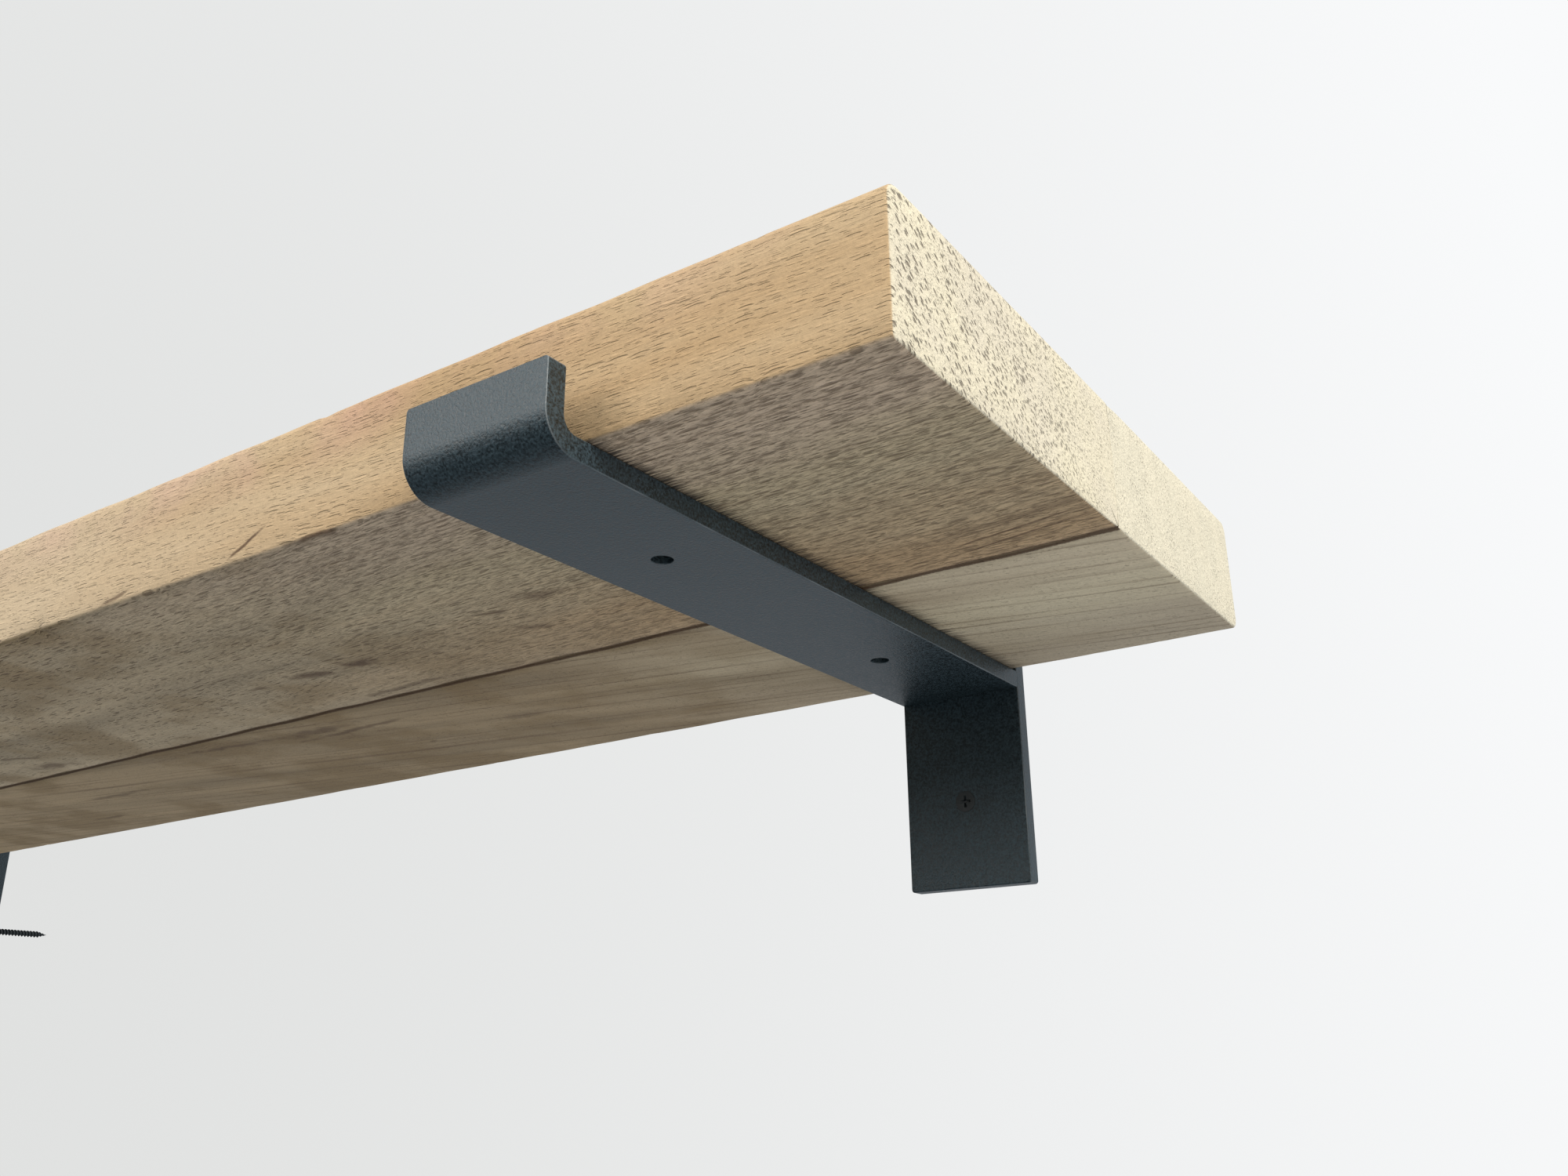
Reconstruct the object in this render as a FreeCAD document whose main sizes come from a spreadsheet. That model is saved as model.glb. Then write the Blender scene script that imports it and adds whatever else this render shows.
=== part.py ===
"""Wall shelf: a board of two edge-glued planks on two black flat-bar brackets.

Frame: +X along the shelf to its right end, +Y into the wall, +Z up. The origin is the
centre of the four wall screws, on the wall's surface. All sizes are millimetres.
"""
import FreeCAD
import Part
import Sketcher
import os

# Driving dimensions: alias, value, what it measures.
DIMENSIONS = [
    ("board_length", 900.0, "length of the board, along the wall"),
    ("board_depth", 225.0, "depth of the board, both planks and the glue line"),
    ("board_thickness", 37.5, "thickness of both planks"),
    ("board_underside", 12.0, "height of the board's underside above the screws' centre"),
    ("rear_plank_width", 105.9, "width of the plank next to the wall"),
    ("glue_thickness", 0.2, "thickness of the glue line between the planks"),
    ("joint_chamfer", 0.8, "eased arris along both sides of the glue joint"),
    ("top_edge_radius", 3.5, "rounding of the board's long top edges"),
    ("rear_edge_radius", 3.5, "rounding of the board's lower rear edge"),
    ("front_edge_radius", 1.5, "rounding of the board's lower front edge"),
    ("end_edge_radius", 1.2, "rounding of the board's outer edges around the end grain"),
    ("bar_width", 46.0, "width of the flat bar, arm and wall plate"),
    ("bar_thickness", 6.0, "thickness of the flat bar"),
    ("bracket_pitch", 697.0, "distance between the brackets' centre lines"),
    ("plate_drop", 74.0, "wall plate below the board's underside"),
    ("plate_rise", 36.0, "wall plate above the board's underside"),
    ("plate_corner_radius", 1.5, "rounding of the wall plate's corners"),
    ("lip_gap", 8.0, "space between the board's front and the lip"),
    ("lip_rise", 16.0, "lip's top above the board's underside"),
    ("lip_corner_radius", 1.0, "rounding of the lip's top corners"),
    ("bend_radius", 4.0, "inside radius of the bend between arm and lip"),
    ("rear_hole_setback", 63.0, "arm's rear hole from the wall"),
    ("arm_hole_spacing", 113.5, "distance between the arm's two holes"),
    ("arm_hole_diameter", 6.0, "arm's plain holes for board screws"),
    ("weld_size", 4.0, "bevel on the arm's top rear edge, filled by the weld"),
    ("screw_rise", 32.0, "upper and lower wall screws from their centre"),
    ("screw_hole_diameter", 4.5, "wall plate's clearance holes"),
    ("countersink_diameter", 7.9, "mouth of the wall plate's 90 degree countersinks"),
    ("head_diameter", 7.5, "wall screw's countersunk head"),
    ("head_rim", 0.3, "cylindrical rim of the screw's head"),
    ("neck_diameter", 3.6, "screw's plain neck, inside the wall plate"),
    ("thread_diameter", 4.0, "screw's thread, behind the wall plate"),
    ("screw_reach", 44.0, "screw's tip behind the wall's surface"),
    ("tip_length", 6.0, "screw's pointed tip"),
    ("recess_span", 4.2, "arms of the cross recess, tip to tip"),
    ("recess_slot", 1.0, "width of the cross recess's slots"),
    ("recess_depth", 1.7, "depth of the cross recess"),
]

document = FreeCAD.newDocument("WallShelf")
sheet = document.addObject("Spreadsheet::Sheet", "Sizes")


def fill_sheet():
    """Write each driving dimension into the sheet, with its alias and its meaning."""
    for row, (alias, value, meaning) in enumerate(DIMENSIONS, start=1):
        sheet.set(f"A{row}", meaning)
        sheet.set(f"B{row}", str(value))
        sheet.setAlias(f"B{row}", alias)
    document.recompute()


def linked(formula):
    """The same formula with each alias written as a cell of the sheet."""
    words = formula.split(" ")
    aliases = {alias for alias, value, meaning in DIMENSIONS}
    return " ".join(f"Sizes.{word}" if word in aliases else word for word in words)


def new_body(label):
    body = document.addObject("PartDesign::Body", label)
    body.Label = label
    return body


def origin_plane(body, role):
    return next(item for item in body.Origin.OriginFeatures if item.Role == role)


def new_sketch(body, role, name):
    sketch = body.newObject("Sketcher::SketchObject", f"{body.Name}_{name}")
    sketch.AttachmentSupport = [(origin_plane(body, role), "")]
    sketch.MapMode = "FlatFace"
    return sketch


def measure_from_origin(sketch, geometry, point, axis, name, formula):
    """Hold one point of the sketch at a distance from its origin, given by a formula."""
    kind = {"x": "DistanceX", "y": "DistanceY"}[axis]
    place = sketch.getPoint(geometry, point)
    sketch.addConstraint(Sketcher.Constraint(kind, -1, 1, geometry, point, getattr(place, axis)))
    sketch.renameConstraint(sketch.ConstraintCount - 1, name)
    sketch.setExpression(f"Constraints.{name}", linked(formula))


def value_of(formula):
    """The formula's number, worked out by the sheet itself."""
    return float(sheet.evalExpression(linked(formula)))


def closed_outline(sketch, corners):
    """Straight lines through the corners, each given as a pair of formulas."""
    points = [FreeCAD.Vector(value_of(across), value_of(up), 0) for across, up in corners]
    for start, end in zip(points, points[1:] + points[:1]):
        sketch.addGeometry(Part.LineSegment(start, end))
    count = len(points)
    for index in range(count):
        sketch.addConstraint(Sketcher.Constraint("Coincident", index, 2, (index + 1) % count, 1))
    for index, (across, up) in enumerate(corners):
        measure_from_origin(sketch, index, 1, "x", f"across_{index}", across)
        measure_from_origin(sketch, index, 1, "y", f"up_{index}", up)


def circles(sketch, diameter, centres):
    """Circles of one diameter, each centre given as a pair of formulas."""
    for index, (across, up) in enumerate(centres):
        centre = FreeCAD.Vector(value_of(across), value_of(up), 0)
        circle = Part.Circle(centre, FreeCAD.Vector(0, 0, 1), value_of(diameter) / 2)
        sketch.addGeometry(circle)
        sketch.addConstraint(Sketcher.Constraint("Diameter", index, value_of(diameter)))
        sketch.renameConstraint(sketch.ConstraintCount - 1, f"diameter_{index}")
        sketch.setExpression(f"Constraints.diameter_{index}", linked(diameter))
        measure_from_origin(sketch, index, 3, "x", f"across_{index}", across)
        measure_from_origin(sketch, index, 3, "y", f"up_{index}", up)


def pad_both_ways(body, sketch, length):
    """Pad a sketch by the whole length, half to each side of its plane."""
    pad = body.newObject("PartDesign::Pad", f"{body.Name}_pad")
    pad.Profile = sketch
    pad.SideType = "Symmetric"
    pad.setExpression("Length", linked(length))
    document.recompute()
    return pad


def cut_through(body, sketch, name):
    """Pocket a sketch right through the body, both ways from its plane."""
    before = body.Shape.Volume
    pocket = body.newObject("PartDesign::Pocket", f"{body.Name}_{name}")
    pocket.Profile = sketch
    pocket.SideType = "Symmetric"
    pocket.Type = "ThroughAll"
    document.recompute()
    if not body.Shape.Volume < before:
        raise RuntimeError(f"{pocket.Name} cuts nothing")


def edges_where(shape, test):
    """Names of the edges whose box and curve pass a test."""
    return [f"Edge{number}" for number, edge in enumerate(shape.Edges, start=1) if test(edge)]


def dress(body, kind, name, test, size_property, size):
    """Fillet or chamfer every edge of the body that passes the test."""
    base = body.Tip
    names = edges_where(base.Shape, test)
    if not names:
        raise RuntimeError(f"{body.Name} has no edge for {name}")
    feature = body.newObject(kind, f"{body.Name}_{name}")
    feature.Base = (base, names)
    feature.setExpression(size_property, linked(size))
    document.recompute()
    return feature


def fillet(body, name, test, radius):
    return dress(body, "PartDesign::Fillet", name, test, "Radius", radius)


def chamfer(body, name, test, size):
    return dress(body, "PartDesign::Chamfer", name, test, "Size", size)


def near(value, formula):
    return abs(value - value_of(formula)) < 0.01


def runs_along(edge, axis, **places):
    """True for a straight edge along an axis that lies at the given places."""
    if edge.Curve.TypeId != "Part::GeomLine":
        return False
    direction = edge.tangentAt(edge.FirstParameter)
    if abs(getattr(direction, axis)) < 0.999:
        return False
    middle = edge.CenterOfMass
    return all(near(getattr(middle, name), formula) for name, formula in places.items())


TOP = "board_underside + board_thickness"
UNDERSIDE = "board_underside"
BOARD_REAR = "0 - bar_thickness"
JOINT_REAR = "0 - bar_thickness - rear_plank_width"
JOINT_FRONT = "0 - bar_thickness - rear_plank_width - glue_thickness"
BOARD_FRONT = "0 - bar_thickness - board_depth"


def ease_end_grain(body, joint):
    """Round the outer edges around both ends of a plank; at the joint its edges stay square."""

    def is_outer(edge):
        middle = edge.CenterOfMass
        at_end = abs(abs(middle.x) - value_of("board_length / 2")) < 0.01
        at_joint = abs(middle.y - value_of(joint)) < value_of("joint_chamfer")
        return at_end and not at_joint

    fillet(body, "end_rounding", is_outer, "end_edge_radius")


def make_plank(label, rear, front):
    """A plank between two depths, padded along the wall."""
    body = new_body(label)
    sketch = new_sketch(body, "YZ_Plane", "section")
    closed_outline(sketch, [(rear, UNDERSIDE), (rear, TOP), (front, TOP), (front, UNDERSIDE)])
    pad_both_ways(body, sketch, "board_length")
    return body


def make_rear_plank():
    body = make_plank("rear_plank", BOARD_REAR, JOINT_REAR)
    chamfer(body, "joint_arrises", lambda edge: runs_along(edge, "x", y=JOINT_REAR), "joint_chamfer")
    top_rear = {"y": BOARD_REAR, "z": TOP}
    fillet(body, "top_rounding", lambda edge: runs_along(edge, "x", **top_rear), "top_edge_radius")
    low_rear = {"y": BOARD_REAR, "z": UNDERSIDE}
    fillet(body, "rear_rounding", lambda edge: runs_along(edge, "x", **low_rear), "rear_edge_radius")
    ease_end_grain(body, JOINT_REAR)
    return body


def make_front_plank():
    body = make_plank("front_plank", JOINT_FRONT, BOARD_FRONT)
    chamfer(body, "joint_arrises", lambda edge: runs_along(edge, "x", y=JOINT_FRONT), "joint_chamfer")
    top_front = {"y": BOARD_FRONT, "z": TOP}
    fillet(body, "top_rounding", lambda edge: runs_along(edge, "x", **top_front), "top_edge_radius")
    low_front = {"y": BOARD_FRONT, "z": UNDERSIDE}
    fillet(body, "front_rounding", lambda edge: runs_along(edge, "x", **low_front), "front_edge_radius")
    ease_end_grain(body, JOINT_FRONT)
    return body


def make_glue_line():
    """The film of glue between the planks, kept inside their eased arrises."""
    body = new_body("glue_line")
    sketch = new_sketch(body, "YZ_Plane", "section")
    low = "board_underside + joint_chamfer"
    high = "board_underside + board_thickness - joint_chamfer"
    closed_outline(sketch, [(JOINT_REAR, low), (JOINT_REAR, high), (JOINT_FRONT, high), (JOINT_FRONT, low)])
    pad_both_ways(body, sketch, "board_length")
    return body


ARM_TOP = "board_underside"
ARM_LOW = "board_underside - bar_thickness"
ARM_REAR = "0 - bar_thickness"
LIP_REAR = "0 - bar_thickness - board_depth - lip_gap"
LIP_FRONT = "0 - bar_thickness - board_depth - lip_gap - bar_thickness"
LIP_TOP = "board_underside + lip_rise"


def place_bracket_piece(body, side, height):
    """Move a piece from the middle of the shelf to its bracket; side is 1 for right, -1 for left."""
    body.setExpression(".Placement.Base.x", linked(f"{side} * bracket_pitch / 2"))
    body.setExpression(".Placement.Base.z", linked(height))


def make_arm(name, side):
    """Flat bar that carries the board, bent up at the front into a low lip."""
    body = new_body(f"{name}_bracket_arm")
    sketch = new_sketch(body, "YZ_Plane", "profile")
    closed_outline(
        sketch,
        [
            (ARM_REAR, ARM_LOW),
            (ARM_REAR, "board_underside - weld_size"),
            ("0 - bar_thickness - weld_size", ARM_TOP),
            (LIP_REAR, ARM_TOP),
            (LIP_REAR, LIP_TOP),
            (LIP_FRONT, LIP_TOP),
            (LIP_FRONT, ARM_LOW),
        ],
    )
    pad_both_ways(body, sketch, "bar_width")
    inner = {"y": LIP_REAR, "z": ARM_TOP}
    fillet(body, "inner_bend", lambda edge: runs_along(edge, "x", **inner), "bend_radius")
    outer = {"y": LIP_FRONT, "z": ARM_LOW}
    fillet(body, "outer_bend", lambda edge: runs_along(edge, "x", **outer), "bend_radius + bar_thickness")
    fillet(body, "lip_corners", lambda edge: runs_along(edge, "y", z=LIP_TOP), "lip_corner_radius")
    holes = new_sketch(body, "XY_Plane", "board_holes")
    rear_hole = "0 - rear_hole_setback"
    front_hole = "0 - rear_hole_setback - arm_hole_spacing"
    circles(holes, "arm_hole_diameter", [("0", rear_hole), ("0", front_hole)])
    cut_through(body, holes, "board_hole_cut")
    place_bracket_piece(body, side, "0")
    return body


def make_wall_plate(name, side):
    """Flat bar upright on the wall, with a countersunk hole above and below the arm."""
    body = new_body(f"{name}_wall_plate")
    sketch = new_sketch(body, "YZ_Plane", "section")
    low = "board_underside - plate_drop"
    high = "board_underside + plate_rise"
    closed_outline(sketch, [("0", low), ("0", high), ("0 - bar_thickness", high), ("0 - bar_thickness", low)])
    pad_both_ways(body, sketch, "bar_width")
    fillet(
        body,
        "corner_rounding",
        lambda edge: runs_along(edge, "y", z=low) or runs_along(edge, "y", z=high),
        "plate_corner_radius",
    )
    holes = new_sketch(body, "XZ_Plane", "screw_holes")
    circles(holes, "screw_hole_diameter", [("0", "screw_rise"), ("0", "0 - screw_rise")])
    cut_through(body, holes, "screw_hole_cut")
    chamfer(
        body,
        "countersinks",
        lambda edge: edge.Curve.TypeId == "Part::GeomCircle"
        and near(edge.Curve.Radius, "screw_hole_diameter / 2")
        and near(edge.CenterOfMass.y, BOARD_REAR),
        "( countersink_diameter - screw_hole_diameter ) / 2",
    )
    place_bracket_piece(body, side, "0")
    return body


def make_weld(name, side):
    """Weld bead that fills the bevel on the arm's rear end, flush with the arm's top."""
    body = new_body(f"{name}_weld_bead")
    sketch = new_sketch(body, "YZ_Plane", "section")
    closed_outline(
        sketch,
        [
            (ARM_REAR, "board_underside - weld_size"),
            (ARM_REAR, ARM_TOP),
            ("0 - bar_thickness - weld_size", ARM_TOP),
        ],
    )
    pad_both_ways(body, sketch, "bar_width")
    place_bracket_piece(body, side, "0")
    return body


def make_wall_screw(name, side, height):
    """Countersunk wood screw: cross recess, cone under the head, plain neck, thread, point."""
    body = new_body(f"{name}_wall_screw")
    profile = new_sketch(body, "XY_Plane", "profile")
    head_face = "0 - bar_thickness"
    rim_end = "0 - bar_thickness + head_rim"
    cone_end = "0 - bar_thickness + head_rim + ( head_diameter - neck_diameter ) / 2"
    closed_outline(
        profile,
        [
            ("0", head_face),
            ("head_diameter / 2", head_face),
            ("head_diameter / 2", rim_end),
            ("neck_diameter / 2", cone_end),
            ("neck_diameter / 2", "0"),
            ("thread_diameter / 2", "0"),
            ("thread_diameter / 2", "screw_reach - tip_length"),
            ("0", "screw_reach"),
        ],
    )
    turned = body.newObject("PartDesign::Revolution", f"{body.Name}_turned")
    turned.Profile = profile
    turned.ReferenceAxis = (profile, ["V_Axis"])
    turned.Angle = 360
    document.recompute()
    cut_cross_recess(body)
    place_bracket_piece(body, side, height)
    return body


def cut_cross_recess(body):
    """Cross-shaped pocket in the screw's head."""
    cross = new_sketch(body, "XZ_Plane", "cross")
    cross.setExpression(".AttachmentOffset.Base.z", linked("bar_thickness"))
    span = "recess_span / 2"
    slot = "recess_slot / 2"
    minus = "0 - "
    closed_outline(
        cross,
        [
            (slot, slot),
            (slot, span),
            (minus + slot, span),
            (minus + slot, slot),
            (minus + span, slot),
            (minus + span, minus + slot),
            (minus + slot, minus + slot),
            (minus + slot, minus + span),
            (slot, minus + span),
            (slot, minus + slot),
            (span, minus + slot),
            (span, slot),
        ],
    )
    document.recompute()
    before = body.Shape.Volume
    recess = body.newObject("PartDesign::Pocket", f"{body.Name}_recess")
    recess.Profile = cross
    recess.setExpression("Length", linked("recess_depth"))
    document.recompute()
    if not body.Shape.Volume < before:
        raise RuntimeError(f"{recess.Name} cuts nothing")


def build():
    """Every sub-part of the shelf."""
    fill_sheet()
    pieces = [make_front_plank(), make_rear_plank(), make_glue_line()]
    for name, side in (("right", 1), ("left", -1)):
        pieces.append(make_arm(name, side))
        pieces.append(make_wall_plate(name, side))
        pieces.append(make_weld(name, side))
        pieces.append(make_wall_screw(f"{name}_upper", side, "screw_rise"))
        pieces.append(make_wall_screw(f"{name}_lower", side, "0 - screw_rise"))
    document.recompute()
    return pieces


def check(pieces):
    """Stop if any object of the document failed or any sub-part isn't one valid solid."""
    for item in document.Objects:
        if "Invalid" in item.State or "Error" in item.State:
            raise RuntimeError(f"{item.Name} failed: {item.State}")
    for piece in pieces:
        shape = piece.Shape
        if shape.isNull() or not shape.isValid() or len(shape.Solids) != 1:
            raise RuntimeError(f"{piece.Label} is not one valid solid")


def export(pieces):
    os.makedirs("parts", exist_ok=True)
    for piece in pieces:
        piece.Shape.exportStep(f"parts/{piece.Label}.step")
        print(f"{piece.Label}: {piece.Shape.Volume:.1f} mm3")


pieces = build()
check(pieces)
export(pieces)
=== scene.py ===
"""Looks of the wall shelf with brackets: two edge-glued oak planks on black flat-bar brackets."""

import math
from functools import partial

import bmesh
import bpy
from mathutils import Matrix, Vector, noise


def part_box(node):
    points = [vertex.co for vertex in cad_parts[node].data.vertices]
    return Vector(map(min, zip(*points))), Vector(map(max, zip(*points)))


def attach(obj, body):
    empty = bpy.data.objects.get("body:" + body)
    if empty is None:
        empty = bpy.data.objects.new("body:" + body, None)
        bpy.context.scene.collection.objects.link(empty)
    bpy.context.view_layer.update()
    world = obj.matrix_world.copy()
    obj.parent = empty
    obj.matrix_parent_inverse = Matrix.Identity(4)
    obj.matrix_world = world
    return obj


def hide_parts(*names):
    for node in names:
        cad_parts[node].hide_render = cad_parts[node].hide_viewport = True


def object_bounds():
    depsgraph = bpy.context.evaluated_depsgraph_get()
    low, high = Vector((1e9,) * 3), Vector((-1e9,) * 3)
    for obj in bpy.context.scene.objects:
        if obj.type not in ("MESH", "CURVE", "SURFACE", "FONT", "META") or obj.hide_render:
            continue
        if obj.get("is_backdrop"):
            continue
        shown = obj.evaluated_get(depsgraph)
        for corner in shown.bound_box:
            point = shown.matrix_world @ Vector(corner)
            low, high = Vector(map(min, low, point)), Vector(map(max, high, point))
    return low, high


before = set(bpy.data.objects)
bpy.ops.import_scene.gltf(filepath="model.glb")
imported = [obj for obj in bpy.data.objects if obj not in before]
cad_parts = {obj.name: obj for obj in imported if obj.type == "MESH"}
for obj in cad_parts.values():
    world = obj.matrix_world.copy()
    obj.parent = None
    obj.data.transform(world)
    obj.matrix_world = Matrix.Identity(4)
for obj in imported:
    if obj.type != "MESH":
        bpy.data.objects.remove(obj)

bl_info = {
    "name": "Wall shelf with brackets",
    "version": (1, 0, 0),
    "blender": (4, 5, 0),
    "location": "View3D > Sidebar > Shelf",
    "description": "Builds the visible pieces of an oak wall shelf on flat-bar brackets",
    "category": "Object",
}

MM = 0.001
TINY = 0.01 * MM
CAD_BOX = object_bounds()
SIDES = ("right", "left")
LEVELS = ("upper", "lower")
QUARTER_TURN = Matrix.Rotation(math.radians(90), 4, "X")


# ---------------------------------------------------------------- properties


def linear(code):
    """An sRGB colour such as C8AE8E as linear red, green and blue."""
    parts = [int(code[i : i + 2], 16) / 255 for i in (0, 2, 4)]
    return tuple(p / 12.92 if p <= 0.04045 else ((p + 0.055) / 1.055) ** 2.4 for p in parts)


def tint(name, description, code):
    """A colour property with an sRGB default."""
    return bpy.props.FloatVectorProperty(
        name=name, description=description, subtype="COLOR", size=3, min=0.0, max=1.0, default=linear(code)
    )


def length(name, description, millimetres):
    """A length property, written in millimetres and kept in metres."""
    return bpy.props.FloatProperty(
        name=name, description=description, unit="LENGTH", precision=5, default=millimetres * MM
    )


def turn(name, description, degrees):
    """An angle property, written in degrees and kept in radians."""
    return bpy.props.FloatProperty(
        name=name, description=description, subtype="ANGLE", default=math.radians(degrees)
    )


def share(name, description, value):
    """A plain number from 0 upwards."""
    return bpy.props.FloatProperty(name=name, description=description, min=0.0, default=value)


# Each row is a setting's key, kind, name, description, and values for the front and rear plank.
PLANK_LOOK = (
    ("tone_light", tint, "Light wood", "Palest zones of the side grain", "D3B891", "D8C6A6"),
    ("tone_dark", tint, "Dark wood", "Darkest zones of the side grain", "C6A67C", "C9B48F"),
    ("tone_left", tint, "Left wood", "Paler side grain towards the left", "DAC6A8", "DAC6A8"),
    # The underside gets darker towards the left: partly dust, partly painted shade.
    ("dull_from", length, "Dulled from", "Where the underside starts to get duller", 330.0, 425.0),
    ("dull_to", length, "Dulled to", "Where it is fully dulled, from the middle", 120.0, 225.0),
    ("far_left", share, "Far left", "Brightness of the underside at the far left", 1.0, 1.3),
    ("blush", tint, "Blush", "Pinkish patches under the top edge", "D9A996", "D2AF98"),
    ("late", tint, "Late wood", "Thin dark side of each growth ring", "9C7C58", "7A5F45"),
    ("pore", tint, "Pores", "Open pores on the long faces", "5C4630", "8A7862"),
    ("under_front", tint, "Weathered front", "Underside at the plank's front edge", "D2BCA3", "E7D6B8"),
    ("under_middle", tint, "Weathered middle", "Underside at the plank's middle", "CEBB9A", "EDDEBE"),
    ("under_joint", tint, "Weathered rear", "Underside at the plank's rear edge", "CAAB84", "D2C2A8"),
    # Painted shade and dust: the darker colour of the underside towards the left.
    ("under_left", tint, "Weathered left", "Underside towards the left", "C3AF90", "B29A78"),
    ("end_light", tint, "Sawn end", "Fresh end grain between the pores", "F8EED2", "F8EFD6"),
    ("end_dark", tint, "Sawn end, greyed", "Duller patches of the end grain", "F0E6CF", "F3EBD3"),
    ("end_pore", tint, "End pores", "Pores on the sawn end", "77695A", "A99D88"),
    ("ring_tilt", turn, "Ring tilt", "Turn of the growth rings about the plank's length", -34.0, -65.0),
    ("grain_turn", turn, "Grain turn", "Turn of the grain in the plane of the underside", -1.5, 10.5),
    ("pith", length, "Pith distance", "Distance from the plank's middle to the pith", 170.0, 240.0),
    ("ring", length, "Ring width", "Mean width of a growth ring", 4.5, 6.5),
    ("ring_share", share, "Ring strength", "How much the late wood darkens", 0.16, 0.62),
    ("pore_length", length, "Pore length", "Half the length of an open pore", 3.0, 1.6),
    ("pore_width", length, "Pore width", "Half the width of an open pore along the ring", 1.0, 0.42),
    ("pore_depth", length, "Pore thickness", "Half the width of an open pore across the ring", 0.36, 0.26),
    ("side_pores", share, "Side pores", "How dark the pores are on the upright faces", 0.09, 0.25),
    ("under_pores", share, "Underside pores", "How dark the pores are on the underside", 0.62, 0.4),
    ("end_pores", share, "End pores", "How dark the pores are on the sawn ends", 0.8, 0.6),
    ("end_fade", share, "End fade", "What is left of that beside the joint", 0.45, 1.0),
    ("tear", share, "Torn fibres", "Strength of the broken streaks along the grain", 0.8, 0.12),
)


def plank_settings(column):
    """The properties of one plank's look, with the defaults from a column of the table."""
    return {key: kind(name, words, values[column]) for key, kind, name, words, *values in PLANK_LOOK}


class FrontPlankLook(bpy.types.PropertyGroup):
    """Grain and colours of the flat-sawn front plank."""

    __annotations__ = plank_settings(0)


class RearPlankLook(bpy.types.PropertyGroup):
    """Grain and colours of the nearly quarter-sawn rear plank."""

    __annotations__ = plank_settings(1)


class PlankShape(bpy.types.PropertyGroup):
    """Shape of the planks."""

    step: length("Mesh step along", "Distance between the cross cuts of the mesh", 2.5)
    cell: length("Mesh step across", "Distance between the lengthwise cuts of the mesh", 4.0)
    round: length("Rounded arris", "Radius of the sanded long arrises", 3.5)
    crisp: length("Crisp arris", "Radius of the lower front arris", 1.5)
    end: length("End arris", "Radius round the sawn ends", 1.0)
    joint: length("Joint chamfer", "Chamfer of the arrises along the glue line", 0.8)
    wave: length("Saw waves", "Depth of the broad unevenness of the faces", 0.22)
    wear: length("Arris wear", "Depth of the uneven wear along the arrises", 0.7)
    chip: length("Chips", "Depth of the deepest chips on the lower front arris", 1.6)


class BracketShape(bpy.types.PropertyGroup):
    """Shape and colour of the brackets."""

    arris: length("Arris", "Radius of the bar's edges under the coating", 0.45)
    bend: length("Bend radius", "Inside radius of the bend up into the lip", 4.0)
    corner: length("Lip corner", "Radius of the lip's top corners", 1.0)
    plate_corner: length("Plate corner", "Radius of the wall plate's corners", 1.5)
    hole: length("Arm hole", "Radius of the plain holes in the arm", 3.0)
    hole_near: length("Rear hole", "Distance of the rear hole from the wall's surface", 63.0)
    hole_far: length("Front hole", "Distance of the front hole from the wall's surface", 176.5)
    screw_hole: length("Screw hole", "Radius of the wall plate's clearance holes", 2.25)
    sink: length("Countersink", "Radius of the countersinks at the plate's face", 3.95)
    coat: tint("Powder coat", "Colour of the black powder coat", "28343A")


class ScrewShape(bpy.types.PropertyGroup):
    """Shape and colour of the wall screws."""

    neck: length("Neck", "Radius of the plain neck", 1.8)
    root: length("Thread root", "Radius at the bottom of the thread", 1.35)
    pitch: length("Pitch", "Advance of the thread in one turn", 2.0)
    rim: length("Head rim", "Height of the head's cylindrical rim", 0.3)
    point: length("Point", "Length of the tapered point", 6.0)
    slot: length("Recess width", "Width of the cross recess", 1.0)
    span: length("Recess span", "Length of the cross recess from tip to tip", 4.2)
    depth: length("Recess depth", "Depth of the cross recess", 0.9)
    steel: tint("Black steel", "Colour of the phosphated steel", "20272A")


class StageLook(bpy.types.PropertyGroup):
    """Camera, lights and floor."""

    eye: bpy.props.FloatVectorProperty(
        name="Eye", description="Place of the camera", subtype="TRANSLATION", unit="LENGTH", size=3,
        default=(0.5573, -0.4298, -0.1204),
    )
    yaw: turn("Yaw", "Turn of the camera to the left of the wall's normal", 33.91)
    pitch: turn("Pitch", "Turn of the camera above the horizon", 19.89)
    roll: turn("Roll", "Turn of the camera about its own axis", -0.67)
    lens: bpy.props.FloatProperty(
        name="Lens", description="Focal length", subtype="DISTANCE_CAMERA", default=30.56
    )
    floor_drop: length("Floor", "Depth of the floor below the wall screws", 1500.0)
    floor_side: length("Floor side", "Side of the floor's square", 7000.0)
    floor_tint: tint("Floor colour", "Pale matt floor", "E6E5E2")
    wall_glow: tint("Backdrop", "Near-white backdrop on the right", "F9FAFB")
    wall_dim: tint("Dim backdrop", "Greyer backdrop on the left", "E0E1E0")


# ------------------------------------------------------------------- helpers


MODES = {
    "Math": "operation",
    "VectorMath": "operation",
    "MapRange": "interpolation_type",
    "Mapping": "vector_type",
    "Mix": "data_type",
}


def add_node(tree, kind, *values, **settings):
    """Adds a shader node and fills or links its inputs, in their order or by name.

    The kind may be followed by its operation or type. A setting that starts with a capital is an
    input, and any other is the node's own. A node given as a value stands for its first output.
    """
    kind, *mode = kind.split()
    node = tree.nodes.new("ShaderNode" + kind)
    if mode:
        setattr(node, MODES[kind], mode[0])
    for name, value in settings.items():
        if name[0].islower():
            setattr(node, name, value)
    used = [socket for socket in node.inputs if socket.enabled]
    named = [(node.inputs[n.replace("_", " ")], v) for n, v in settings.items() if n[0].isupper()]
    for socket, value in (*zip(used, values), *named):
        if isinstance(value, bpy.types.Node):
            value = next(output for output in value.outputs if output.enabled)
        if isinstance(value, bpy.types.NodeSocket):
            tree.links.new(value, socket)
        elif socket.type == "RGBA":
            socket.default_value = (*value, 1.0)
        else:
            socket.default_value = value
    return node


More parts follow.
